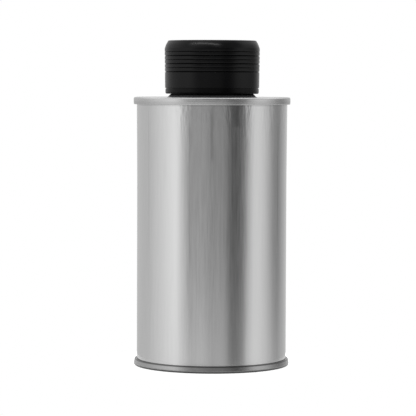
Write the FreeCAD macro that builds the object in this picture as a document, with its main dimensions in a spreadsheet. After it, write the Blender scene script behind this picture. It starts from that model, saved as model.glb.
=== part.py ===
"""Shut round tinplate can for a liquid food, with a black screw closure.

Frame: millimetres, +Z up, origin on the can's axis at the surface it stands on.

The body wall is seamed to a stamped top end and a stamped bottom end. A flared
plastic collar sits on the top end and carries the neck. The screw cap closes the
neck, and the tamper band hangs under the cap by a thin web, round the neck.
What the shut can holds can't be seen, so the body is solid between its two ends.
"""
import FreeCAD, Part
import os
import re
import Sketcher

# Driving dimensions: word, value in mm, what it measures.
SIZES = [
    ("can_height", 102.25, "standing surface to the top of the upper seam"),
    ("body_diameter", 57.0, "outside of the body wall"),
    ("mouth_flare", 0.16, "how far the wall leans out, in radius, at the upper seam"),
    ("flare_height", 27.0, "height of the wall that leans out"),
    ("plate", 0.25, "thickness of the two stamped ends"),
    ("seam_inset", 0.5, "outside of the body wall in to the inner wall of a seam"),
    # upper double seam
    ("rim_overhang", 1.35, "outside of the body wall out to the upper seam"),
    ("rim_height", 2.75, "height of the upper seam"),
    ("rim_crown", 0.8, "rounding of the upper seam's top edges"),
    ("rim_hem", 0.5, "rounding of the upper seam's lower edge"),
    # lower double seam
    ("foot_overhang", 1.24, "outside of the body wall out to the foot of the lower seam"),
    ("foot_lean", 0.3, "how far the lower seam leans in, in radius, up to its shoulder"),
    ("foot_height", 2.5, "height of the lower seam"),
    ("foot_shoulder", 0.2, "rounding of the lower seam's upper edge"),
    ("foot_heel", 0.65, "rounding of the lower seam's outer edge at the ground"),
    ("foot_inner_heel", 0.3, "rounding of the lower seam's inner edge at the ground"),
    # stamping of both ends
    ("sink_drop", 0.6, "seam's edge on the wall to the bottom of the sink round the panel"),
    ("sink_width", 1.5, "flat bottom of the sink"),
    ("sink_slope", 0.9, "run of the slope between the sink and the panel"),
    ("panel_rise", 1.0, "height between the sink and the panel"),
    ("panel_ledge", 2.5, "flat ledge between the sink and the pressed disc"),
    ("disc_slope", 0.5, "run of the slope round the pressed disc"),
    ("disc_step", 0.45, "height of the pressed disc"),
    # collar
    ("collar_flare", 3.22, "neck out to the foot of the collar"),
    ("collar_lip", 0.4, "upright edge at the collar's foot"),
    ("collar_edge", 0.15, "rounding of that edge"),
    # screw cap
    ("cap_diameter", 36.25, "cap at the foot of its chamfer"),
    ("cap_height", 18.0, "cap without its tamper band"),
    ("cap_draft", 0.2, "how far the cap's wall draws in, in radius, down to its lower edge"),
    ("chamfer_height", 3.1, "height of the cap's chamfer"),
    ("chamfer_run", 1.4, "run of the cap's chamfer"),
    ("cap_edge", 0.4, "rounding of the cap's top edge"),
    ("cap_shoulder", 2.0, "rounding at the foot of the chamfer"),
    ("recess_margin", 3.6, "edge of the cap's top in to its shallow recess"),
    ("recess_depth", 0.35, "depth of that recess"),
    ("groove_drop", 4.33, "cap's top down to its first groove"),
    ("groove_pitch", 1.51, "groove to groove"),
    ("fine_groove_width", 0.3, "width of the first, third and fifth groove"),
    ("fine_groove_depth", 0.2, "their depth"),
    ("wide_groove_width", 0.42, "width of the second, fourth and sixth groove"),
    ("wide_groove_depth", 0.28, "their depth"),
    # tamper band
    ("band_lift", 1.25, "top of the upper seam up to the tamper band"),
    ("band_height", 1.9, "height of the tamper band"),
    ("band_inset", 0.12, "cap's lower edge in to the band's outside"),
    ("band_wall", 2.16, "thickness of the band"),
    ("band_gap", 0.3, "clearance between the band and the neck"),
    ("band_heel", 0.6, "rounding of the band's lower outer edge"),
    ("score_height", 0.3, "height of the score line between the band and the cap"),
    ("score_depth", 0.25, "band's outside in to the web that holds it to the cap"),
]
GROOVES_OF_A_KIND = 3

# Radii and heights that several pieces share, as formulas of the words above.
WALL = "body_diameter / 2"
MOUTH = f"{WALL} + mouth_flare"
SEAM_INNER = f"{WALL} - seam_inset"
RIM_LOW = "can_height - rim_height"
TOP_SINK = f"{RIM_LOW} - sink_drop"
TOP_PANEL = f"{TOP_SINK} + panel_rise"
TOP_DISC = f"{TOP_PANEL} + disc_step"
BOTTOM_SINK = "foot_height + sink_drop"
BOTTOM_PANEL = f"{BOTTOM_SINK} - panel_rise"
BOTTOM_DISC = f"{BOTTOM_PANEL} - disc_step"
BAND_LOW = "can_height + band_lift"
BAND_TOP = f"{BAND_LOW} + band_height"
CAP_LOW = f"{BAND_TOP} + score_height"
CAP_TOP = f"{CAP_LOW} + cap_height"
CAP_WALL = "cap_diameter / 2"
CAP_HEM = f"{CAP_WALL} - cap_draft"
CAP_FACE = f"{CAP_WALL} - chamfer_run"
BAND_OUTER = f"{CAP_HEM} - band_inset"
BAND_BORE = f"{BAND_OUTER} - band_wall"
NECK = f"{BAND_BORE} - band_gap"
ON_AXIS = "0"

doc = FreeCAD.newDocument("round_tin")
sheet = doc.addObject("Spreadsheet::Sheet", "Sizes")
for row, (word, size, meaning) in enumerate(SIZES, start=1):
    sheet.set(f"A{row}", word)
    sheet.set(f"B{row}", str(size))
    sheet.set(f"C{row}", meaning)
    sheet.setAlias(f"B{row}", word)
doc.recompute()


def formula(words):
    """Turn the words of a formula into references to the sheet's cells."""
    return re.sub(r"[a-z][a-z_]+", lambda found: f"Sizes.{found.group()}", words)


def new_body(label):
    """Start a sub-part: a body whose label names its file."""
    body = doc.addObject("PartDesign::Body", label)
    body.Label = label
    body.Placement = FreeCAD.Placement()
    return body


def origin_part(body, role):
    """Give the body's own origin plane or axis that has this role."""
    return next(part for part in body.Origin.OriginFeatures if part.Role == role)


def upright_sketch(body, name):
    """Start a sketch on the plane through the axis: x is a radius and y a height."""
    sketch = body.newObject("Sketcher::SketchObject", name)
    sketch.AttachmentSupport = (origin_part(body, "XZ_Plane"), [""])
    sketch.MapMode = "FlatFace"
    return sketch


def place(sketch, line, end, radius, height):
    """Hold one point of the sketch at a radius and a height, each a formula."""
    origin, start, vertical_axis = -1, 1, -2
    if radius == ON_AXIS:
        sketch.addConstraint(Sketcher.Constraint("PointOnObject", line, end, vertical_axis))
    else:
        across = sketch.addConstraint(Sketcher.Constraint("DistanceX", origin, start, line, end, 1.0))
        sketch.setExpression(f"Constraints[{across}]", formula(radius))
    if height == "0":
        sketch.addConstraint(Sketcher.Constraint("PointOnObject", line, end, origin))
    else:
        up = sketch.addConstraint(Sketcher.Constraint("DistanceY", origin, start, line, end, 1.0))
        sketch.setExpression(f"Constraints[{up}]", formula(height))


def outline(sketch, corners):
    """Draw a closed outline through corners given as (radius, height) formulas."""
    start, end = 1, 2
    for index in range(len(corners)):
        here = FreeCAD.Vector(1 + index, 1 + index ** 2, 0)
        there = FreeCAD.Vector(2 + index, 2 + index ** 2, 0)
        sketch.addGeometry(Part.LineSegment(here, there), False)
    for index, (radius, height) in enumerate(corners):
        following = (index + 1) % len(corners)
        sketch.addConstraint(Sketcher.Constraint("Coincident", index, end, following, start))
        place(sketch, index, start, radius, height)


def turn(body, name, corners):
    """Turn an outline round the axis into a solid."""
    sketch = upright_sketch(body, f"{name}_outline")
    outline(sketch, corners)
    solid = body.newObject("PartDesign::Revolution", name)
    solid.Profile = sketch
    solid.ReferenceAxis = (sketch, ["V_Axis"])
    solid.Angle = 360
    doc.recompute()
    return solid


def round_corners(body, name, turned, base, numbers, radius):
    """Round the edges that the outline's corners of these numbers have swept."""
    corners = [turned.Profile[0].getPoint(number, 1) for number in numbers]
    edges = []
    for number, edge in enumerate(base.Shape.Edges, start=1):
        if not isinstance(edge.Curve, Part.Circle):
            continue
        place_of_edge = FreeCAD.Vector(edge.Curve.Radius, edge.Curve.Center.z, 0)
        if any(place_of_edge.isEqual(corner, 1e-4) for corner in corners):
            edges.append(f"Edge{number}")
    if len(edges) != len(numbers):
        raise RuntimeError(f"{name}: {len(edges)} edges found for {len(numbers)} corners")
    fillet = body.newObject("PartDesign::Fillet", name)
    fillet.Base = (base, edges)
    fillet.setExpression("Radius", formula(radius))
    doc.recompute()
    return fillet


def check_cut(cut, before):
    """Stop if a cut took nothing away."""
    if cut.Shape.Volume >= before.Shape.Volume - 1e-6:
        raise RuntimeError(f"{cut.Name} cuts nothing")


def stamping(disc, panel, sink, offset=""):
    """Corners of one face of a stamped end, from the axis out to the foot of its sink."""
    sink_foot = f"{SEAM_INNER} - sink_width"
    panel_edge = f"{sink_foot} - sink_slope"
    disc_foot = f"{panel_edge} - panel_ledge"
    disc_edge = f"{disc_foot} - disc_slope"
    return [
        (ON_AXIS, disc + offset),
        (disc_edge, disc + offset),
        (disc_foot, panel + offset),
        (panel_edge, panel + offset),
        (sink_foot, sink + offset),
    ]


def make_body():
    """Wall and filling: one shut solid that follows the inner faces of both ends."""
    body = new_body("body")
    seam_outer = f"{SEAM_INNER} + plate"
    corners = stamping(BOTTOM_DISC, BOTTOM_PANEL, BOTTOM_SINK, " + plate")
    corners += [
        (seam_outer, f"{BOTTOM_SINK} + plate"),
        (seam_outer, "foot_height"),
        (WALL, "foot_height"),
        (WALL, f"{RIM_LOW} - flare_height"),
        (MOUTH, RIM_LOW),
        (seam_outer, RIM_LOW),
        (seam_outer, f"{TOP_SINK} - plate"),
    ]
    corners += reversed(stamping(TOP_DISC, TOP_PANEL, TOP_SINK, " - plate"))
    turn(body, "filled_wall", corners)
    return body


def make_top_end():
    """Stamped top end: pressed disc, sink and the folded seam over the wall's edge."""
    body = new_body("top_end")
    seam_outer = f"{SEAM_INNER} + plate"
    rim = f"{WALL} + rim_overhang"
    corners = stamping(TOP_DISC, TOP_PANEL, TOP_SINK)
    corners += [
        (SEAM_INNER, TOP_SINK),
        (SEAM_INNER, "can_height"),
        (rim, "can_height"),
        (rim, RIM_LOW),
        (seam_outer, RIM_LOW),
        (seam_outer, f"{TOP_SINK} - plate"),
    ]
    inner_crown, outer_crown, hem = 6, 7, 8
    corners += reversed(stamping(TOP_DISC, TOP_PANEL, TOP_SINK, " - plate"))
    plain = turn(body, "top_stamping", corners)
    crowned = round_corners(body, "rim_crowns", plain, plain, [inner_crown, outer_crown], "rim_crown")
    round_corners(body, "rim_hems", plain, crowned, [hem], "rim_hem")
    return body


def make_bottom_end():
    """Stamped bottom end, whose folded seam is the ring that the can stands on."""
    body = new_body("bottom_end")
    seam_outer = f"{SEAM_INNER} + plate"
    foot = f"{WALL} + foot_overhang"
    corners = stamping(BOTTOM_DISC, BOTTOM_PANEL, BOTTOM_SINK)
    corners += [
        (SEAM_INNER, BOTTOM_SINK),
        (SEAM_INNER, "0"),
        (foot, "0"),
        (f"{foot} - foot_lean", "foot_height"),
        (seam_outer, "foot_height"),
        (seam_outer, f"{BOTTOM_SINK} + plate"),
    ]
    inner_heel, outer_heel, shoulder = 6, 7, 8
    corners += reversed(stamping(BOTTOM_DISC, BOTTOM_PANEL, BOTTOM_SINK, " + plate"))
    plain = turn(body, "bottom_stamping", corners)
    heeled = round_corners(body, "foot_heels", plain, plain, [outer_heel], "foot_heel")
    lined = round_corners(body, "foot_inner_heels", plain, heeled, [inner_heel], "foot_inner_heel")
    round_corners(body, "foot_shoulders", plain, lined, [shoulder], "foot_shoulder")
    return body


def make_collar():
    """Plastic collar: a lip on the pressed disc, a cone, and the neck up to the cap."""
    body = new_body("collar")
    foot = f"{NECK} + collar_flare"
    plain = turn(body, "flared_collar", [
        (ON_AXIS, TOP_DISC),
        (foot, TOP_DISC),
        (foot, f"{TOP_DISC} + collar_lip"),
        (NECK, BAND_LOW),
        (NECK, CAP_LOW),
        (ON_AXIS, CAP_LOW),
    ])
    lip = 2
    round_corners(body, "collar_edges", plain, plain, [lip], "collar_edge")
    return body


def cut_grooves(body, base, kind, first_drop):
    """Cut one kind of V-shaped ring groove into the cap's wall, at every second pitch."""
    sketch = upright_sketch(body, f"{kind}_groove_section")
    middle = f"{CAP_TOP} - {first_drop}"
    clear = f"{CAP_WALL} + {kind}_groove_depth"
    outline(sketch, [
        (f"{CAP_WALL} - {kind}_groove_depth", middle),
        (clear, f"{middle} - {kind}_groove_width"),
        (clear, f"{middle} + {kind}_groove_width"),
    ])
    groove = body.newObject("PartDesign::Groove", f"{kind}_groove")
    groove.Profile = sketch
    groove.ReferenceAxis = (sketch, ["V_Axis"])
    groove.Angle = 360
    doc.recompute()
    check_cut(groove, base)
    row = body.newObject("PartDesign::LinearPattern", f"{kind}_grooves")
    row.Originals = [groove]
    row.Direction = (origin_part(body, "Z_Axis"), [""])
    row.Reversed = True
    row.Mode = "Spacing"
    row.Occurrences = GROOVES_OF_A_KIND
    row.setExpression("Offset", formula("2 * groove_pitch"))
    body.Tip = row
    doc.recompute()
    check_cut(row, groove)
    return row


def make_cap():
    """Screw cap: a drafted wall with ring grooves under a chamfered, recessed top."""
    body = new_body("cap")
    plain = turn(body, "cap_blank", [
        (ON_AXIS, CAP_LOW),
        (CAP_HEM, CAP_LOW),
        (CAP_WALL, f"{CAP_TOP} - chamfer_height"),
        (CAP_FACE, CAP_TOP),
        (f"{CAP_FACE} - recess_margin", CAP_TOP),
        (f"{CAP_FACE} - recess_margin", f"{CAP_TOP} - recess_depth"),
        (ON_AXIS, f"{CAP_TOP} - recess_depth"),
    ])
    shoulder, edge = 2, 3
    shouldered = round_corners(body, "cap_shoulders", plain, plain, [shoulder], "cap_shoulder")
    edged = round_corners(body, "cap_edges", plain, shouldered, [edge], "cap_edge")
    fine = cut_grooves(body, edged, "fine", "groove_drop")
    cut_grooves(body, fine, "wide", "(groove_drop + groove_pitch)")
    return body


def make_tamper_band():
    """Tamper band: a ring round the neck, and inside a score line the web up to the cap."""
    body = new_body("tamper_band")
    web = f"{BAND_OUTER} - score_depth"
    plain = turn(body, "scored_ring", [
        (BAND_BORE, BAND_LOW),
        (BAND_OUTER, BAND_LOW),
        (BAND_OUTER, BAND_TOP),
        (web, BAND_TOP),
        (web, CAP_LOW),
        (BAND_BORE, CAP_LOW),
    ])
    heel = 1
    round_corners(body, "band_heels", plain, plain, [heel], "band_heel")
    return body


PIECES = [
    make_body(),
    make_top_end(),
    make_bottom_end(),
    make_collar(),
    make_cap(),
    make_tamper_band(),
]
doc.recompute()

for item in doc.Objects:
    if "Invalid" in item.State or "Error" in item.State:
        raise RuntimeError(f"{item.Name} failed: {item.State}")
for piece in PIECES:
    shape = piece.Shape
    if shape.isNull() or not shape.isValid() or len(shape.Solids) != 1:
        raise RuntimeError(f"{piece.Label} isn't one valid solid")

os.makedirs("parts", exist_ok=True)
for piece in PIECES:
    piece.Shape.exportStep(f"parts/{piece.Label}.step")
    print(f"{piece.Label}: {piece.Shape.Volume / 1000:.2f} cm3")
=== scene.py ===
"""Looks of a shut round tinplate can with a black screw closure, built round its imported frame.

The frame is in metres, +Z up, with the can's axis through the origin of the ground. The sizes in
the classes below are in millimetres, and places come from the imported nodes' boxes.
"""

import logging
import math
from abc import ABC, abstractmethod
from collections.abc import Mapping, Sequence
from dataclasses import dataclass, field
from enum import Enum
from typing import Any

import bmesh
import bpy
from mathutils import Matrix, Vector

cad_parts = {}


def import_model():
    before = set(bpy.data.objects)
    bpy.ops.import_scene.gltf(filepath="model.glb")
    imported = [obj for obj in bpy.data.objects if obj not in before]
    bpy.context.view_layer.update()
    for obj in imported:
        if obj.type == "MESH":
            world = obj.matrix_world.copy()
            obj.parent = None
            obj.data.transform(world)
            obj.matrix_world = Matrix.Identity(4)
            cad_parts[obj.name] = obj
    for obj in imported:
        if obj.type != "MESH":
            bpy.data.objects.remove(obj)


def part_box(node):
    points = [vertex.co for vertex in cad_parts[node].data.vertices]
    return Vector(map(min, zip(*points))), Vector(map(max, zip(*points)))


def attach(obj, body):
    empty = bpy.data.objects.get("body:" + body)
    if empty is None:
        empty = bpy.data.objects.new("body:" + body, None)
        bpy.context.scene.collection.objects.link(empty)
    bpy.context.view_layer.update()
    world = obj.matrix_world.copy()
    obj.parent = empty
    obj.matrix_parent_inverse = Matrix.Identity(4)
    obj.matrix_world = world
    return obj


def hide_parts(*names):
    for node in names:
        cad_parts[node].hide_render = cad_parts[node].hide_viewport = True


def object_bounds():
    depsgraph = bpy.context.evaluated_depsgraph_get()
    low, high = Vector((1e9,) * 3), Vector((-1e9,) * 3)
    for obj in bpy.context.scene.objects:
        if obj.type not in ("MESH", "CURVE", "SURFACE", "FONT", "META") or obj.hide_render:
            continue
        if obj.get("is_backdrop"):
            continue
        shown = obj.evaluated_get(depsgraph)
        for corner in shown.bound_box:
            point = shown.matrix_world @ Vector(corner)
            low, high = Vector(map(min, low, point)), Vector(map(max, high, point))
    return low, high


LOG = logging.getLogger("round_tin")
MM = 0.001
# facets round a turned piece
COLUMNS = 256
# points nearer than this, in metres, are one point
SAME_POINT = 1e-7
# faces that meet at more than this keep a sharp edge
SHARP_BEND = math.radians(32)
# the values that a noise pattern mostly keeps to
NOISE_SPAN = (0.3, 0.7)


# ---------------------------------------------------------------- shaping


@dataclass(frozen=True)
class Corner:
    """One corner of a turned outline, in millimetres, and the radius that rounds it."""

    radius: float
    height: float
    rounding: float = 0.0
    steps: int = 4


@dataclass(frozen=True)
class NodePlace:
    """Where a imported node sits: its outer radius and its lowest and highest level, in millimetres."""

    radius: float
    low: float
    high: float

    @classmethod
    def of(cls, node: str) -> "NodePlace":
        """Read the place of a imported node.

        Args:
            node: name of the node.

        Returns:
            Its place.
        """
        low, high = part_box(node)
        return cls(high.x / MM, low.z / MM, high.z / MM)


def setback(before: Corner, here: Corner, after: Corner) -> float:
    """Work out how far from a corner its rounding starts.

    Args:
        before: the corner before it on the outline.
        here: the corner that is rounded.
        after: the corner after it.

    Returns:
        The distance along each side, in millimetres.
    """
    arriving = Vector((here.radius - before.radius, here.height - before.height))
    leaving = Vector((after.radius - here.radius, after.height - here.height))
    return here.rounding * math.tan(arriving.angle(leaving) / 2)


def turned_shape(corners: Sequence[Corner]) -> bmesh.types.BMesh:
    """Spin an outline round the upright axis into a closed skin.

    Args:
        corners: the outline in order; its ends lie on the axis, or it closes on itself.

    Returns:
        The skin, with its doubles merged and its faces pointing outwards.
    """
    shape = bmesh.new()
    points = [shape.verts.new((spot.radius * MM, 0, spot.height * MM)) for spot in corners]
    for here, there in zip(points, points[1:]):
        shape.edges.new((here, there))
    if corners[0].radius > 0:
        shape.edges.new((points[-1], points[0]))
    for index, (spot, point) in enumerate(zip(corners, points)):
        if spot.rounding > 0:
            reach = setback(corners[index - 1], spot, corners[(index + 1) % len(corners)])
            bmesh.ops.bevel(shape, geom=[point], offset=reach * MM, offset_type="OFFSET",
                            segments=spot.steps, profile=0.5, affect="VERTICES",
                            clamp_overlap=False, material=-1)
    bmesh.ops.spin(shape, geom=shape.verts[:] + shape.edges[:], cent=(0, 0, 0), axis=(0, 0, 1),
                   dvec=(0, 0, 0), angle=math.tau, steps=COLUMNS, use_merge=True)
    bmesh.ops.remove_doubles(shape, verts=shape.verts, dist=SAME_POINT)
    bmesh.ops.recalc_face_normals(shape, faces=shape.faces)
    return shape


# ---------------------------------------------------------------- finishes


def linear(hex_colour: str) -> tuple[float, float, float, float]:
    """Turn an sRGB hex colour into linear light.

    Args:
        hex_colour: six hex digits.

    Returns:
        Red, green, blue and an alpha of 1.
    """
    parts = [int(hex_colour[start:start + 2], 16) / 255 for start in (0, 2, 4)]
    light = [part / 12.92 if part <= 0.04045 else ((part + 0.055) / 1.055) ** 2.4 for part in parts]
    return light[0], light[1], light[2], 1.0


def add_node(tree: bpy.types.NodeTree, kind: str, settings: Mapping[str, Any] | None = None,
             feeds: Mapping[str | int, Any] | None = None) -> bpy.types.Node:
    """Add a node with its settings and links.

    Args:
        tree: the node tree.
        kind: the node's type.
        settings: the node's properties by name.
        feeds: for a socket's name or number, the output that feeds it or its value.

    Returns:
        The node.
    """
    node = tree.nodes.new(kind)
    for name, value in (settings or {}).items():
        setattr(node, name, value)
    for socket, value in (feeds or {}).items():
        if isinstance(value, bpy.types.NodeSocket):
            tree.links.new(value, node.inputs[socket])
        else:
            node.inputs[socket].default_value = value
    return node


def calculate(tree: bpy.types.NodeTree, operation: str, *values: Any) -> bpy.types.NodeSocket:
    """Add a sum to a tree.

    Args:
        tree: the node tree.
        operation: the kind of sum.
        values: its terms in order, each a number or the output that feeds it.

    Returns:
        The result.
    """
    return add_node(tree, "ShaderNodeMath", {"operation": operation},
                    dict(enumerate(values))).outputs[0]


def remap(tree: bpy.types.NodeTree, value: bpy.types.NodeSocket, span: tuple[float, float],
          levels: tuple[Any, Any] = (0.0, 1.0), eased: bool = True) -> bpy.types.NodeSocket:
    """Turn a span of a value into a change between two levels.

    Args:
        tree: the node tree.
        value: the value.
        span: where the first and where the second level is reached.
        levels: the levels, each a number or the output that feeds it.
        eased: whether the change starts and ends gently.

    Returns:
        The level.
    """
    return add_node(
        tree, "ShaderNodeMapRange", {"interpolation_type": "SMOOTHSTEP" if eased else "LINEAR"},
        {"Value": value, "From Min": span[0], "From Max": span[1],
         "To Min": levels[0], "To Max": levels[1]}).outputs[0]


def mixed(tree: bpy.types.NodeTree, share: bpy.types.NodeSocket, first: Any,
          second: Any) -> bpy.types.NodeSocket:
    """Mix two colours; the sockets go by number because the node's kinds share their names.

    Args:
        tree: the node tree.
        share: how much of the second colour there is.
        first: a colour, or the output that feeds it.
        second: the same.

    Returns:
        The mixture.
    """
    return add_node(tree, "ShaderNodeMix", {"data_type": "RGBA"},
                    {0: share, 6: first, 7: second}).outputs[2]


def dimmed(tree: bpy.types.NodeTree, colour: bpy.types.NodeSocket,
           brightness: bpy.types.NodeSocket) -> bpy.types.NodeSocket:
    """Scale a colour by a brightness and return the result."""
    return add_node(tree, "ShaderNodeVectorMath", {"operation": "SCALE"},
                    {0: colour, "Scale": brightness}).outputs[0]


def distance_from(tree: bpy.types.NodeTree, value: bpy.types.NodeSocket,
                  middle: float) -> bpy.types.NodeSocket:
    """Measure how far a value is from a number, either way, and return the result."""
    return calculate(tree, "ABSOLUTE", calculate(tree, "SUBTRACT", value, middle))


def azimuth_of(tree: bpy.types.NodeTree, axes: bpy.types.Node) -> bpy.types.NodeSocket:
    """Measure the turn round the can from its front.

    Args:
        tree: the node tree.
        axes: the node that splits a place or a direction into X, Y and Z.

    Returns:
        The azimuth in radians, growing to the right.
    """
    forward = calculate(tree, "MULTIPLY", axes.outputs["Y"], -1.0)
    return calculate(tree, "ARCTAN2", axes.outputs["X"], forward)


def ray_kinds(tree: bpy.types.NodeTree) -> tuple[bpy.types.NodeSocket, bpy.types.NodeSocket]:
    """Return what says that a ray comes from the camera, and that it comes off or through a piece."""
    path = add_node(tree, "ShaderNodeLightPath")
    mirrored = calculate(tree, "MAXIMUM", path.outputs["Is Glossy Ray"],
                         path.outputs["Is Transmission Ray"])
    return path.outputs["Is Camera Ray"], mirrored


def new_tree(material: bpy.types.Material) -> tuple[bpy.types.NodeTree, bpy.types.Node]:
    """Clear a material's nodes and give it a surface.

    Args:
        material: the material.

    Returns:
        Its node tree and its surface shader.
    """
    material.use_nodes = True
    tree = material.node_tree
    tree.nodes.clear()
    surface = add_node(tree, "ShaderNodeBsdfPrincipled")
    add_node(tree, "ShaderNodeOutputMaterial", feeds={"Surface": surface.outputs["BSDF"]})
    return tree, surface


class GrainRun(Enum):
    """Which way the rolled sheet's grain runs: the number of the axis that its lines follow."""

    UP_THE_WALL = 2
    ACROSS_THE_PLATE = 0

    def cells(self, across: float, along: float) -> tuple[float, float, float]:
        """Give a pattern's scale on each axis.

        Args:
            across: size of one cell across the grain, in millimetres.
            along: its length along the grain.

        Returns:
            Cells in a metre on X, Y and Z.
        """
        scale = [1 / (across * MM)] * 3
        scale[self.value] = 1 / (along * MM)
        return scale[0], scale[1], scale[2]


@dataclass(frozen=True)
class Ripple:
    """Waves in rolled sheet, in millimetres, stretched along its grain and growing with height."""

    across: float
    along: float
    depth: float
    calm_below: float = 0.0
    full_above: float = 1.0
    least: float = 1.0


@dataclass(frozen=True)
class ShadeLine:
    """A level, in millimetres, where painted shade darkens the tin all round: in a seam's crevice,
    under a rim or on the heel.
    """

    level: float
    reach: float
    brightness: float


@dataclass(frozen=True)
class RollLineAndPaintedReflection:
    """A faint dark line up the wall: most are lines that the rolls left, some a painted reflection.
    Azimuth in degrees, sizes in millimetres.

    It is full over the first share of its half height, and gone at the second.
    """

    azimuth: float
    low: float
    high: float
    half_width: float = 0.45
    brightness: float = 0.88
    full_share: float = 0.7
    end_share: float = 1.1


@dataclass(frozen=True)
class Tinplate:
    """Bright tinplate: cold-rolled steel sheet under a thin coat of tin and clear lacquer.

    The rolls leave a fine grain of long lines, and the flow-melted tin shines softly, so lamps
    smear a little and flat sheet ripples in the light. A metal keeps the default IOR.
    """

    name: str
    run: GrainRun
    colour_low: str = "C6C6C6"
    colour_high: str = "D0D0D0"
    roughness: float = 0.16
    grain_across: float = 0.55
    grain_along: float = 14.0
    grain_depth: float = 0.003
    ripples: tuple[Ripple, ...] = ()
    painted_shade: tuple[ShadeLine, ...] = ()
    marks: tuple[RollLineAndPaintedReflection, ...] = ()
    gloss_spread: float = 0.03
    wall_radius: float = 28.5
    mark_drift: float = 1.6
    mark_drift_height: float = 9.0

    def material(self) -> bpy.types.Material:
        """Build the material and return it."""
        material = bpy.data.materials.new(self.name)
        tree, surface = new_tree(material)
        surface.inputs["Metallic"].default_value = 1.0
        place = add_node(tree, "ShaderNodeTexCoord").outputs["Object"]
        axes = add_node(tree, "ShaderNodeSeparateXYZ", feeds={"Vector": place})
        grain = self.noise(tree, place, self.grain_across, self.grain_along)
        sheet = mixed(tree, grain, linear(self.colour_low), linear(self.colour_high))
        colour = self.marked(tree, axes, self.with_painted_shade(tree, axes, sheet))
        gloss = remap(tree, grain, NOISE_SPAN, (
            self.roughness - self.gloss_spread, self.roughness + self.gloss_spread), eased=False)
        lined = add_node(tree, "ShaderNodeBump", feeds={
            "Height": grain, "Distance": self.grain_depth * MM})
        normal = lined.outputs[0]
        for ripple in self.ripples:
            normal = self.rippled(tree, place, axes, ripple, normal)
        tree.links.new(colour, surface.inputs["Base Color"])
        tree.links.new(gloss, surface.inputs["Roughness"])
        tree.links.new(normal, surface.inputs["Normal"])
        return material

    def noise(self, tree: bpy.types.NodeTree, place: bpy.types.NodeSocket, across: float,
              along: float) -> bpy.types.NodeSocket:
        """Add a pattern of cells stretched along the grain.

        Args:
            tree: the material's node tree.
            place: the coordinates.
            across: size of a cell across the grain, in millimetres.
            along: its length along the grain.

        Returns:
            The pattern's output, from 0 to 1.
        """
        stretched = add_node(tree, "ShaderNodeMapping", feeds={
            "Vector": place, "Scale": self.run.cells(across, along)})
        pattern = add_node(tree, "ShaderNodeTexNoise", feeds={
            "Vector": stretched.outputs[0], "Scale": 1.0, "Detail": 3.0, "Roughness": 0.55})
        return pattern.outputs[0]

    def rippled(self, tree: bpy.types.NodeTree, place: bpy.types.NodeSocket,
                axes: bpy.types.Node, ripple: Ripple,
                normal: bpy.types.NodeSocket) -> bpy.types.NodeSocket:
        """Bend a normal by one set of waves.

        Args:
            tree: the material's node tree.
            place: the coordinates.
            axes: the node that splits them.
            ripple: the waves.
            normal: the normal before.

        Returns:
            The normal after.
        """
        waves = self.noise(tree, place, ripple.across, ripple.along)
        strength = remap(tree, axes.outputs["Z"],
                         (ripple.calm_below * MM, ripple.full_above * MM), (ripple.least, 1.0))
        bent = add_node(tree, "ShaderNodeBump", feeds={
            "Height": calculate(tree, "MULTIPLY", waves, strength),
            "Distance": ripple.depth * MM, "Normal": normal})
        return bent.outputs[0]

    def with_painted_shade(self, tree: bpy.types.NodeTree, axes: bpy.types.Node,
               colour: bpy.types.NodeSocket) -> bpy.types.NodeSocket:
        """Darken a colour at each level of painted shade.

        Args:
            tree: the material's node tree.
            axes: the node that splits the coordinates.
            colour: the colour before.

        Returns:
            The colour after.
        """
        for line in self.painted_shade:
            away = distance_from(tree, axes.outputs["Z"], line.level * MM)
            unshaded = remap(tree, away, (0.0, line.reach * MM), (line.brightness, 1.0))
            colour = dimmed(tree, colour, unshaded)
        return colour

    def marked(self, tree: bpy.types.NodeTree, axes: bpy.types.Node,
               colour: bpy.types.NodeSocket) -> bpy.types.NodeSocket:
        """Draw the dark lines on a colour, roll lines and painted reflections alike, each wandering a
        little on its way up.

        Args:
            tree: the material's node tree.
            axes: the node that splits the coordinates.
            colour: the colour before.

        Returns:
            The colour after.
        """
        if not self.marks:
            return colour
        upright = add_node(tree, "ShaderNodeCombineXYZ", feeds={"Z": axes.outputs["Z"]})
        wander = self.noise(tree, upright.outputs[0], 1.0, self.mark_drift_height)
        drift = self.mark_drift / self.wall_radius
        turned = calculate(tree, "MULTIPLY_ADD", wander, drift, azimuth_of(tree, axes))
        for mark in self.marks:
            aside = distance_from(tree, turned, math.radians(mark.azimuth) + drift / 2)
            dark = remap(tree, aside, (0.0, mark.half_width / self.wall_radius),
                         (1 - mark.brightness, 0.0))
            half_height = (mark.high - mark.low) / 2
            up_or_down = distance_from(tree, axes.outputs["Z"], (mark.low + half_height) * MM)
            shown = remap(tree, up_or_down, (half_height * mark.full_share * MM,
                                             half_height * mark.end_share * MM), (1.0, 0.0))
            kept = calculate(tree, "SUBTRACT", 1.0, calculate(tree, "MULTIPLY", dark, shown))
            colour = dimmed(tree, colour, kept)
        return colour


@dataclass(frozen=True)
class ShadeFade:
    """A paler grey painted low on a piece that fades out upwards: painted shade, darker up under what
    hangs over it; the levels are in millimetres.
    """

    colour: str
    none_above: float
    full_below: float


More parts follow.
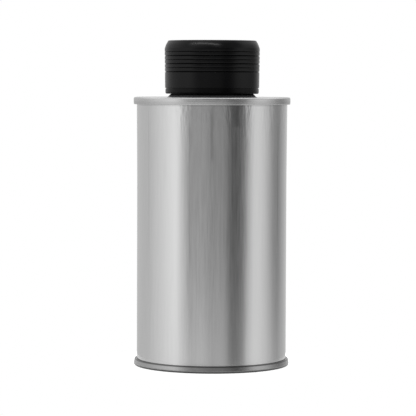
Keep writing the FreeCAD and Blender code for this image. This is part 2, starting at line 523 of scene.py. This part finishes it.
@dataclass(frozen=True)
class MouldedPlastic:
    """Black polypropylene or polyethylene, injection moulded in a finely blasted mould.

    The blasting leaves a satin skin: dark, with broad soft highlights and no sharp reflection.
    Handling polishes it in some places and scuffs it in others.
    """

    name: str
    colour: str = "070708"
    roughness: float = 0.24
    specular: float = 0.18
    skin_cell: float = 0.35
    skin_depth: float = 0.0015
    handling_cell: float = 9.0
    polished: float = 0.04
    scuffed: float = 0.05
    shade_fade: ShadeFade | None = None

    def material(self) -> bpy.types.Material:
        """Build the material and return it."""
        material = bpy.data.materials.new(self.name)
        tree, surface = new_tree(material)
        surface.inputs["Base Color"].default_value = linear(self.colour)
        surface.inputs["Specular IOR Level"].default_value = self.specular
        surface.inputs["IOR"].default_value = 1.49
        place = add_node(tree, "ShaderNodeTexCoord").outputs["Object"]
        skin = add_node(tree, "ShaderNodeTexNoise", feeds={
            "Vector": place, "Scale": 1 / (self.skin_cell * MM), "Detail": 2.0})
        handling = add_node(tree, "ShaderNodeTexNoise", feeds={
            "Vector": place, "Scale": 1 / (self.handling_cell * MM), "Detail": 3.0})
        gloss = remap(tree, handling.outputs[0], NOISE_SPAN, (
            self.roughness - self.polished, self.roughness + self.scuffed), eased=False)
        blasted = add_node(tree, "ShaderNodeBump", feeds={
            "Height": skin.outputs[0], "Distance": self.skin_depth * MM})
        tree.links.new(gloss, surface.inputs["Roughness"])
        tree.links.new(blasted.outputs[0], surface.inputs["Normal"])
        if self.shade_fade:
            axes = add_node(tree, "ShaderNodeSeparateXYZ", feeds={"Vector": place})
            share = remap(tree, axes.outputs["Z"],
                          (self.shade_fade.none_above * MM, self.shade_fade.full_below * MM))
            faded = mixed(tree, share, linear(self.colour), linear(self.shade_fade.colour))
            tree.links.new(faded, surface.inputs["Base Color"])
        return material


# ---------------------------------------------------------------- the can's pieces


@dataclass(kw_only=True)
class CanPiece(ABC):
    """One turned piece of the can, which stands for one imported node."""

    node: str
    name: str
    slot: str

    @property
    def place(self) -> NodePlace:
        """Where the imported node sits."""
        return NodePlace.of(self.node)

    @abstractmethod
    def outline(self) -> list[Corner]:
        """Give the corners of the piece's section, in order."""

    def shape(self) -> bmesh.types.BMesh:
        """Turn the outline into a closed skin and return it."""
        return turned_shape(self.outline())

    def build(self, finish: bpy.types.Material) -> bpy.types.Object:
        """Make the piece.

        Args:
            finish: its material.

        Returns:
            The piece, riding on the can.
        """
        shape = self.shape()
        mesh = bpy.data.meshes.new(self.name)
        shape.to_mesh(mesh)
        shape.free()
        mesh.materials.append(finish)
        mesh.shade_smooth()
        mesh.set_sharp_from_angle(angle=SHARP_BEND)
        piece = bpy.data.objects.new(self.name, mesh)
        bpy.context.scene.collection.objects.link(piece)
        flatness = piece.modifiers.new("flat_faces_stay_flat", "WEIGHTED_NORMAL")
        flatness.keep_sharp = True
        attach(piece, "root")
        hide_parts(self.node)
        return piece


class EndSide(Enum):
    """Which end of the can a stamped end closes; the value is the way it faces along Z."""

    TOP = 1
    BOTTOM = -1


@dataclass(kw_only=True)
class StampedEnd(CanPiece):
    """A stamped end: pressed disc, ledge, sink, and the seam folded over the wall's edge."""

    side: EndSide
    slot: str = "end_tinplate"
    seam_height: float
    crown_rounding: float
    inner_rounding: float
    hem_rounding: float
    lean: float
    upright_share: float
    belly_rounding: float = 1.6
    seam_inner: float = 28.0
    plate: float = 0.25
    sink_drop: float = 0.6
    sink_width: float = 1.5
    sink_slope: float = 0.9
    panel_rise: float = 1.0
    panel_ledge: float = 2.5
    disc_slope: float = 0.5
    disc_step: float = 0.45
    bend: float = 0.5
    chuck_bend: float = 0.3

    @property
    def crown(self) -> float:
        """Level of the seam's outer edge: the rim's top, or the ground."""
        return self.place.high if self.side is EndSide.TOP else self.place.low

    @property
    def hem(self) -> float:
        """Level of the seam's edge on the wall."""
        return self.crown - self.side.value * self.seam_height

    def stamping(self, sunk: float, bend: float) -> list[Corner]:
        """Give the corners of one face of the plate, from the axis out to its sink.

        Args:
            sunk: how far the face lies inside the plate's outer face.
            bend: rounding of the plate's bends.

        Returns:
            The corners.
        """
        way = self.side.value
        sink = self.hem - way * (self.sink_drop + sunk)
        panel = sink + way * self.panel_rise
        disc = panel + way * self.disc_step
        sink_foot = self.seam_inner - self.sink_width
        panel_edge = sink_foot - self.sink_slope
        disc_foot = panel_edge - self.panel_ledge
        return [
            Corner(0, disc),
            Corner(disc_foot - self.disc_slope, disc, bend),
            Corner(disc_foot, panel, bend),
            Corner(panel_edge, panel, bend),
            Corner(sink_foot, sink, bend),
        ]

    def outline(self) -> list[Corner]:
        """Give the corners of the end's section, in order."""
        sink = self.hem - self.side.value * self.sink_drop
        inside = sink - self.side.value * self.plate
        seam_outer = self.seam_inner + self.plate
        reach = self.place.radius
        belly = self.crown - self.side.value * self.seam_height * self.upright_share
        return [
            *self.stamping(0.0, self.bend),
            Corner(self.seam_inner, sink, self.chuck_bend),
            Corner(self.seam_inner, self.crown, self.inner_rounding, 6),
            Corner(reach, self.crown, self.crown_rounding, 8),
            Corner(reach, belly, self.belly_rounding, 4),
            Corner(reach - self.lean, self.hem, self.hem_rounding, 8),
            Corner(seam_outer, self.hem),
            Corner(seam_outer, inside),
            *reversed(self.stamping(self.plate, 0.0)),
        ]


@dataclass(kw_only=True)
class TinWall(CanPiece):
    """The can's wall, rolled from one sheet, and the filling that it holds shut."""

    top: StampedEnd
    bottom: StampedEnd
    node: str = "body"
    name: str = "rolled_wall"
    slot: str = "wall_tinplate"
    diameter: float = 57.0
    flare_height: float = 27.0
    weld_columns: int = 2
    weld_edge: float = 0.12
    weld_rise: float = 0.05
    wall_depth: float = 0.1

    def outline(self) -> list[Corner]:
        """Give the corners of the section of wall and filling, in order."""
        radius = self.diameter / 2
        chuck = self.top.seam_inner + self.top.plate
        high = self.top.hem
        floor = self.bottom.stamping(self.bottom.plate, 0.0)
        lining = self.top.stamping(self.top.plate, 0.0)
        return [
            *floor,
            Corner(chuck, floor[-1].height),
            Corner(chuck, self.bottom.hem),
            Corner(radius, self.bottom.hem),
            Corner(radius, high - self.flare_height),
            Corner(self.place.radius, high),
            Corner(chuck, high),
            Corner(chuck, lining[-1].height),
            *reversed(lining),
        ]

    def shape(self) -> bmesh.types.BMesh:
        """Turn the outline into a closed skin, weld it up the back, and return it."""
        shape = turned_shape(self.outline())
        self.weld(shape)
        return shape

    def weld(self, shape: bmesh.types.BMesh) -> None:
        """Raise the lap of the side weld a little, up the back of the wall.

        Args:
            shape: the wall's skin.
        """
        radius = self.diameter / 2
        half_width = self.weld_columns / 2 * math.tau / COLUMNS * radius * MM
        low, high = self.bottom.hem * MM, self.top.hem * MM
        lap = []
        for face in shape.faces:
            middle = face.calc_center_median()
            on_wall = middle.xy.length > (radius - self.wall_depth) * MM and low < middle.z < high
            if on_wall and middle.y > 0 and abs(middle.x) < half_width:
                lap.append(face)
        bmesh.ops.inset_region(shape, faces=lap, thickness=self.weld_edge * MM,
                               depth=self.weld_rise * MM, use_even_offset=True)


@dataclass(kw_only=True)
class FlaredCollar(CanPiece):
    """Plastic collar on the top end: a lip, a cone under the cap, and the neck."""

    node: str = "collar"
    name: str = "flared_collar"
    slot: str = "collar_plastic"
    flare: float = 3.22
    lip: float = 0.4
    lip_rounding: float = 0.15
    neck_height: float = 1.9
    throat_rounding: float = 0.6

    def outline(self) -> list[Corner]:
        """Give the corners of the collar's section, in order."""
        place = self.place
        neck = place.radius - self.flare
        return [
            Corner(0, place.low),
            Corner(place.radius, place.low),
            Corner(place.radius, place.low + self.lip, self.lip_rounding, 6),
            Corner(neck, place.high - self.neck_height, self.throat_rounding, 6),
            Corner(neck, place.high),
            Corner(0, place.high),
        ]


class GrooveKind(Enum):
    """The two kinds of ring groove in the cap's grip, which take turns down its wall."""

    FINE = "fine"
    WIDE = "wide"


@dataclass(frozen=True)
class Groove:
    """Section of a V-shaped ring groove, in millimetres."""

    half_width: float
    depth: float
    lip_rounding: float = 0.03
    root_rounding: float = 0.02

    def corners(self, wall: float, level: float) -> list[Corner]:
        """Give the groove's corners, going down the wall.

        Args:
            wall: radius of the wall there.
            level: height of the groove's middle.

        Returns:
            The corners, with moulded lips.
        """
        return [
            Corner(wall, level + self.half_width, self.lip_rounding, 2),
            Corner(wall - self.depth, level, self.root_rounding, 2),
            Corner(wall, level - self.half_width, self.lip_rounding, 2),
        ]


@dataclass(kw_only=True)
class ScrewCap(CanPiece):
    """Screw cap: a drafted wall with ring grooves under a chamfered, recessed top."""

    node: str = "cap"
    name: str = "ringed_screw_cap"
    slot: str = "cap_plastic"
    draft: float = 0.2
    chamfer_height: float = 3.1
    chamfer_run: float = 1.4
    chamfer_crown: float = 0.16
    crown_rounding: float = 6.0
    edge: float = 0.25
    shoulder: float = 2.0
    recess_margin: float = 3.6
    recess_depth: float = 0.35
    recess_foot: float = 0.2
    recess_lip: float = 0.15
    groove_drop: float = 4.33
    groove_pitch: float = 1.51
    groove_count: int = 6
    hem_rounding: float = 0.12
    grooves: dict[GrooveKind, Groove] = field(default_factory=lambda: {
        GrooveKind.FINE: Groove(half_width=0.17, depth=0.24),
        GrooveKind.WIDE: Groove(half_width=0.24, depth=0.36),
    })

    def outline(self) -> list[Corner]:
        """Give the corners of the cap's section, in order."""
        place = self.place
        reach = place.radius
        face = reach - self.chamfer_run
        recess = face - self.recess_margin
        outline = [
            Corner(0, place.high - self.recess_depth),
            Corner(recess, place.high - self.recess_depth, self.recess_foot),
            Corner(recess, place.high, self.recess_lip),
            Corner(face, place.high, self.edge, 6),
            Corner((face + reach) / 2 + self.chamfer_crown,
                   place.high - (self.chamfer_height - self.chamfer_crown) / 2,
                   self.crown_rounding),
            Corner(reach, place.high - self.chamfer_height, self.shoulder, 6),
        ]
        wall_height = place.high - self.chamfer_height - place.low
        for number in range(self.groove_count):
            kind = GrooveKind.WIDE if number % 2 else GrooveKind.FINE
            level = place.high - self.groove_drop - number * self.groove_pitch
            drawn_in = self.draft * (1 - (level - place.low) / wall_height)
            outline += self.grooves[kind].corners(reach - drawn_in, level)
        outline += [
            Corner(reach - self.draft, place.low, self.hem_rounding),
            Corner(0, place.low),
        ]
        return outline


@dataclass(kw_only=True)
class TamperBand(CanPiece):
    """Tamper band: a ring round the neck, and inside a score line the web up to the cap."""

    node: str = "tamper_band"
    name: str = "tear_off_band"
    slot: str = "cap_plastic"
    wall: float = 2.16
    heel: float = 0.6
    score_height: float = 0.3
    score_depth: float = 0.25
    score_rounding: float = 0.08

    def outline(self) -> list[Corner]:
        """Give the corners of the band's section, in order."""
        place = self.place
        inner = place.radius - self.wall
        web = place.radius - self.score_depth
        shoulder = place.high - self.score_height
        return [
            Corner(inner, place.low),
            Corner(place.radius, place.low, self.heel, 8),
            Corner(place.radius, shoulder, self.score_rounding),
            Corner(web, shoulder),
            Corner(web, place.high),
            Corner(inner, place.high),
        ]


# ---------------------------------------------------------------- the studio


@dataclass(frozen=True)
class StudioCamera:
    """A long lens in front of the can, a little above the rim's level, looking slightly down."""

    distance: float = 867.0
    height: float = 109.2
    aside: float = -1.42
    pitch: float = 3.254
    roll: float = 0.19
    lens: float = 196.7
    sensor: float = 36.0
    clear_of_lens: float = 10.0

    def build(self) -> bpy.types.Object:
        """Set the camera up and return it."""
        optics = bpy.data.cameras.new("camera")
        optics.lens = self.lens
        optics.sensor_width = self.sensor
        optics.clip_start = self.clear_of_lens * MM
        camera = bpy.data.objects.new("camera", optics)
        stand = Matrix.Translation(Vector((self.aside, -self.distance, self.height)) * MM)
        look = Matrix.Rotation(math.radians(90 - self.pitch), 4, "X")
        lean = Matrix.Rotation(math.radians(self.roll), 4, "Z")
        camera.matrix_world = stand @ look @ lean
        bpy.context.scene.collection.objects.link(camera)
        bpy.context.scene.camera = camera
        return camera


@dataclass(frozen=True)
class StripLamp:
    """A long soft lamp that hangs level and looks at the can."""

    name: str
    azimuth: float
    elevation: float
    distance: float
    length: float
    width: float
    watts: float

    def build(self, target: Vector) -> bpy.types.Object:
        """Hang the lamp.

        Args:
            target: the point that it looks at.

        Returns:
            The lamp.
        """
        light = bpy.data.lights.new(self.name, "AREA")
        light.shape = "RECTANGLE"
        light.size = self.length * MM
        light.size_y = self.width * MM
        light.energy = self.watts
        lamp = bpy.data.objects.new(self.name, light)
        away = Matrix.Rotation(math.radians(self.azimuth), 3, "Z") @ Vector((0, -1, 0))
        flat, up = math.cos(math.radians(self.elevation)), math.sin(math.radians(self.elevation))
        direction = Vector((away.x * flat, away.y * flat, up))
        lamp.location = target + direction * self.distance * MM
        lamp.rotation_euler = direction.to_track_quat("Z", "Y").to_euler()
        bpy.context.scene.collection.objects.link(lamp)
        return lamp

    def light_only(self, lamp: bpy.types.Object, lit: list[bpy.types.Object]) -> None:
        """Screen the lamp off from everything but a few pieces.

        Args:
            lamp: the lamp.
            lit: the pieces that it still lights.
        """
        reached = bpy.data.collections.new(f"{self.name}_reaches")
        for piece in lit:
            reached.objects.link(piece)
        lamp.light_linking.receiver_collection = reached


@dataclass(frozen=True)
class Scrim:
    """One stop of the ring of scrims and flags round the can."""

    azimuth: float
    level: float


@dataclass(frozen=True)
class LightTent:
    """White background, and round the can a ring of pale scrims and dark flags.

    Azimuths are in degrees from the front of the can, growing to the right. Overhead are the
    levels on the left, in the middle and on the right, and then the white canopy. The table's
    angles are in degrees above the horizon. Each span says where one level gives way to the
    next: a share of the way to the side, up or to the back, or for the flags a level of light.
    """

    ring: tuple[Scrim, ...] = (
        # backdrop, far left
        Scrim(-180, 0.60),
        Scrim(-140, 0.70),
        Scrim(-112, 0.71),
        # left scrim and its feathered edge
        Scrim(-100, 0.82),
        Scrim(-84, 0.94),
        Scrim(-68, 1.10),
        Scrim(-56, 1.23),
        Scrim(-48, 0.87),
        Scrim(-41, 0.63),
        # the grey room behind the camera
        Scrim(-34, 0.38),
        Scrim(-15, 0.42),
        Scrim(2, 0.31),
        Scrim(10, 0.34),
        Scrim(20, 0.305),
        # narrow black flag
        Scrim(30, 0.115),
        Scrim(39, 0.115),
        # right scrim
        Scrim(50, 0.21),
        Scrim(60, 0.69),
        Scrim(68, 0.97),
        Scrim(80, 0.94),
        Scrim(90, 0.78),
        # side flag
        Scrim(108, 0.39),
        Scrim(122, 0.30),
        # backdrop, far right
        Scrim(138, 0.52),
        Scrim(160, 0.68),
        Scrim(180, 0.60),
    )
    table: float = 1.0
    table_behind: float = 0.60
    table_by_flag: float = 0.42
    table_from: float = -4.8
    table_full: float = -9.0
    table_back_span: tuple[float, float] = (-0.4, 0.95)
    flag_span: tuple[float, float] = (0.12, 0.42)
    overhead: tuple[float, float, float] = (0.70, 0.11, 0.40)
    canopy: float = 1.2
    overhead_side: float = 0.6
    overhead_span: tuple[float, float] = (0.2, 0.65)
    canopy_span: tuple[float, float] = (0.82, 0.89)
    canopy_back_span: tuple[float, float] = (-0.2, 0.15)
    backdrop_half_angle: float = 10.0
    backdrop_blur: float = 0.01

    def build(self) -> bpy.types.World:
        """Build the surroundings and return them."""
        world = bpy.data.worlds.new("light_tent")
        bpy.context.scene.world = world
        world.use_nodes = True
        tree = world.node_tree
        tree.nodes.clear()
        way = add_node(tree, "ShaderNodeTexCoord").outputs["Generated"]
        axes = add_node(tree, "ShaderNodeSeparateXYZ", feeds={"Vector": way})
        scrims = self.scrim_ring(tree, axes)
        seen = self.with_overhead(tree, axes, scrims)
        seen = self.with_table(tree, axes, scrims, seen)
        shown = mixed(tree, self.shows_backdrop(tree, axes), seen, (1, 1, 1, 1))
        light = add_node(tree, "ShaderNodeBackground", feeds={"Color": shown})
        add_node(tree, "ShaderNodeOutputWorld", feeds={"Surface": light.outputs[0]})
        return world

    def scrim_ring(self, tree: bpy.types.NodeTree, axes: bpy.types.Node) -> bpy.types.NodeSocket:
        """Add the ring of scrims and flags.

        Args:
            tree: the world's node tree.
            axes: the node that gives a direction's X, Y and Z.

        Returns:
            The ring's light.
        """
        turn = remap(tree, azimuth_of(tree, axes), (-math.pi, math.pi), eased=False)
        ramp = add_node(tree, "ShaderNodeValToRGB", feeds={0: turn})
        stops = ramp.color_ramp.elements
        stops.remove(stops[1])
        for number, scrim in enumerate(self.ring):
            position = scrim.azimuth / 360 + 0.5
            stop = stops[0] if number == 0 else stops.new(position)
            stop.position = position
            stop.color = (scrim.level, scrim.level, scrim.level, 1)
        return ramp.outputs[0]

    def with_overhead(self, tree: bpy.types.NodeTree, axes: bpy.types.Node,
                      ring: bpy.types.NodeSocket) -> bpy.types.NodeSocket:
        """Close the tent overhead with its canopy.

        Args:
            tree: the world's node tree.
            axes: the node that gives a direction's X, Y and Z.
            ring: the light round the can.

        Returns:
            The light of the ring and the tent's top.
        """
        left, middle, right = self.overhead
        aside = axes.outputs["X"]
        from_left = remap(tree, aside, (-self.overhead_side, 0.0), (left, middle), eased=False)
        to_right = remap(tree, aside, (0.0, self.overhead_side), (0.0, right - middle), eased=False)
        sides = calculate(tree, "ADD", from_left, to_right)
        front = remap(tree, axes.outputs["Z"], self.canopy_span, (sides, self.canopy))
        level = remap(tree, axes.outputs["Y"], self.canopy_back_span, (front, self.canopy))
        return mixed(tree, remap(tree, axes.outputs["Z"], self.overhead_span), ring, level)

    def with_table(self, tree: bpy.types.NodeTree, axes: bpy.types.Node,
                   ring: bpy.types.NodeSocket,
                   upper: bpy.types.NodeSocket) -> bpy.types.NodeSocket:
        """Add the pale table that fills the view below the horizon, darker beside a flag.

        Args:
            tree: the world's node tree.
            axes: the node that gives a direction's X, Y and Z.
            ring: the light round the can.
            upper: the light above the horizon.

        Returns:
            The light all round.
        """
        share = remap(tree, axes.outputs["Z"], (
            math.sin(math.radians(self.table_from)), math.sin(math.radians(self.table_full))),
            eased=False)
        level = remap(tree, axes.outputs["Y"], self.table_back_span,
                      (self.table, self.table_behind), eased=False)
        grey = remap(tree, ring, self.flag_span, (self.table_by_flag, level), eased=False)
        return mixed(tree, share, upper, grey)

    def shows_backdrop(self, tree: bpy.types.NodeTree,
                       axes: bpy.types.Node) -> bpy.types.NodeSocket:
        """Say which rays see the white backdrop.

        The camera sees it everywhere. Pieces mirror it where it hangs, behind the can.

        Args:
            tree: the world's node tree.
            axes: the node that gives a direction's X, Y and Z.

        Returns:
            A share from 0 to 1.
        """
        from_camera, mirrored = ray_kinds(tree)
        edge = math.cos(math.radians(self.backdrop_half_angle))
        behind = remap(tree, axes.outputs["Y"],
                       (edge - self.backdrop_blur, edge + self.backdrop_blur))
        return calculate(tree, "MAXIMUM", from_camera,
                         calculate(tree, "MULTIPLY", mirrored, behind))


@dataclass(frozen=True)
class PaleFloor:
    """A round sheet of white card under the can, satin enough to carry soft reflections."""

    radius: float = 48.0
    colour: str = "E6E6E6"
    roughness: float = 0.18
    white_lift: float = 0.80
    mirrored_lift: float = 0.15
    facets: int = 96

    def build(self) -> bpy.types.Object:
        """Lay the floor and return it."""
        shape = bmesh.new()
        bmesh.ops.create_circle(shape, cap_ends=True, segments=self.facets,
                                radius=self.radius * MM)
        mesh = bpy.data.meshes.new("floor")
        shape.to_mesh(mesh)
        shape.free()
        mesh.materials.append(self.material())
        floor = bpy.data.objects.new("floor", mesh)
        bpy.context.scene.collection.objects.link(floor)
        floor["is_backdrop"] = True
        return floor

    def material(self) -> bpy.types.Material:
        """Build the card's material, lifted to white for what looks at it, and return it."""
        material = bpy.data.materials.new("white_card")
        tree, surface = new_tree(material)
        surface.inputs["Base Color"].default_value = linear(self.colour)
        surface.inputs["Roughness"].default_value = self.roughness
        surface.inputs["Emission Color"].default_value = (1, 1, 1, 1)
        from_camera, mirrored = ray_kinds(tree)
        seen = calculate(tree, "MULTIPLY", from_camera, self.white_lift)
        lift = calculate(tree, "MULTIPLY_ADD", mirrored, self.mirrored_lift, seen)
        tree.links.new(lift, surface.inputs["Emission Strength"])
        return material


# ---------------------------------------------------------------- the whole scene


def main() -> None:
    """Load the frame, set up the studio, and build each piece of the can in order."""
    logging.basicConfig(level=logging.INFO, format="%(name)s: %(message)s")
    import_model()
    cad_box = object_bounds()
    bpy.context.scene.view_settings.view_transform = "Standard"
    StudioCamera().build()
    LightTent().build()
    PaleFloor().build()
    key = StripLamp("key", azimuth=-22, elevation=51, distance=800, length=920, width=50,
                    watts=2.4)
    lamp = key.build(Vector((0, 0, cad_box[1][2])))

    wall_finish = Tinplate(
        "bright_tinplate", GrainRun.UP_THE_WALL,
        ripples=(Ripple(across=3.4, along=20, depth=0.03, calm_below=55, full_above=95, least=0.35),
                 Ripple(across=1.5, along=6, depth=0.10, calm_below=80, full_above=100, least=0.0)),
        # painted shade: a dark band on the wall just above the lower seam's crevice, and a lighter one
        # under the top seam's hem
        painted_shade=(ShadeLine(2.5, 0.4, 0.38), ShadeLine(99.3, 0.55, 0.85)),
        marks=(RollLineAndPaintedReflection(-55.8, 43, 99, brightness=0.92), RollLineAndPaintedReflection(-16.8, 42, 99, brightness=0.90),
               # painted reflection: a dark streak down the middle of the wall under the rim, where the
               # dark thing straight in front of the can is mirrored
               RollLineAndPaintedReflection(0.0, 78, 99, half_width=1.1, brightness=0.82),
               RollLineAndPaintedReflection(60.0, 46, 92, brightness=0.90),
               # painted reflection: a darker patch in the dark flag's reflection just under the rim
               RollLineAndPaintedReflection(19.0, 91, 100, half_width=2.6, brightness=0.72))).material()
    rim_finish = Tinplate("stamped_tinplate", GrainRun.ACROSS_THE_PLATE, colour_low="BEBEBE",
                          colour_high="CACACA", roughness=0.28, grain_depth=0.0,
                          # painted shade on the top seam's lower half, where it meets the wall
                          painted_shade=(ShadeLine(100.1, 1.4, 0.84),)).material()
    # a darker copy of the rim's tinplate, painted shade for the shadowed floor that the foot mirrors;
    # its bands are painted shade in the seam's crevice and on the heel where it meets the floor
    foot_finish = Tinplate("shade_darkened_tinplate", GrainRun.ACROSS_THE_PLATE, colour_low="A6A6A6",
                           colour_high="B2B2B2", roughness=0.25, grain_depth=0.0,
                           painted_shade=(ShadeLine(2.45, 0.45, 0.20), ShadeLine(0.15, 0.9, 0.10))).material()
    cap_finish = MouldedPlastic("black_polypropylene").material()
    band_finish = MouldedPlastic("thin_black_polypropylene", specular=0.12).material()
    collar_finish = MouldedPlastic(
        "black_polyethylene", roughness=0.33,
        # painted shade: the collar is darker up under the tamper band and paler grey down at its lip
        shade_fade=ShadeFade("666668", none_above=103.5, full_below=102.5)).material()

    top = StampedEnd(side=EndSide.TOP, node="top_end", name="stamped_top", seam_height=2.75,
                     crown_rounding=0.75, inner_rounding=0.8, hem_rounding=0.3,
                     lean=0.06, upright_share=0.6)
    bottom = StampedEnd(side=EndSide.BOTTOM, node="bottom_end", name="stamped_bottom",
                        seam_height=2.5, crown_rounding=0.65, inner_rounding=0.3,
                        hem_rounding=0.2, lean=0.3, upright_share=0.4)
    parts = [
        (TinWall(top=top, bottom=bottom), wall_finish),
        (top, rim_finish),
        (bottom, foot_finish),
        (FlaredCollar(), collar_finish),
        (TamperBand(), band_finish),
        (ScrewCap(), cap_finish),
    ]
    pieces = []
    for part, finish in parts:
        piece = part.build(finish)
        LOG.info("%s: %d faces", piece.name, len(piece.data.polygons))
        pieces.append(piece)
    key.light_only(lamp, pieces[-1:])


if __name__ == "__main__":
    main()
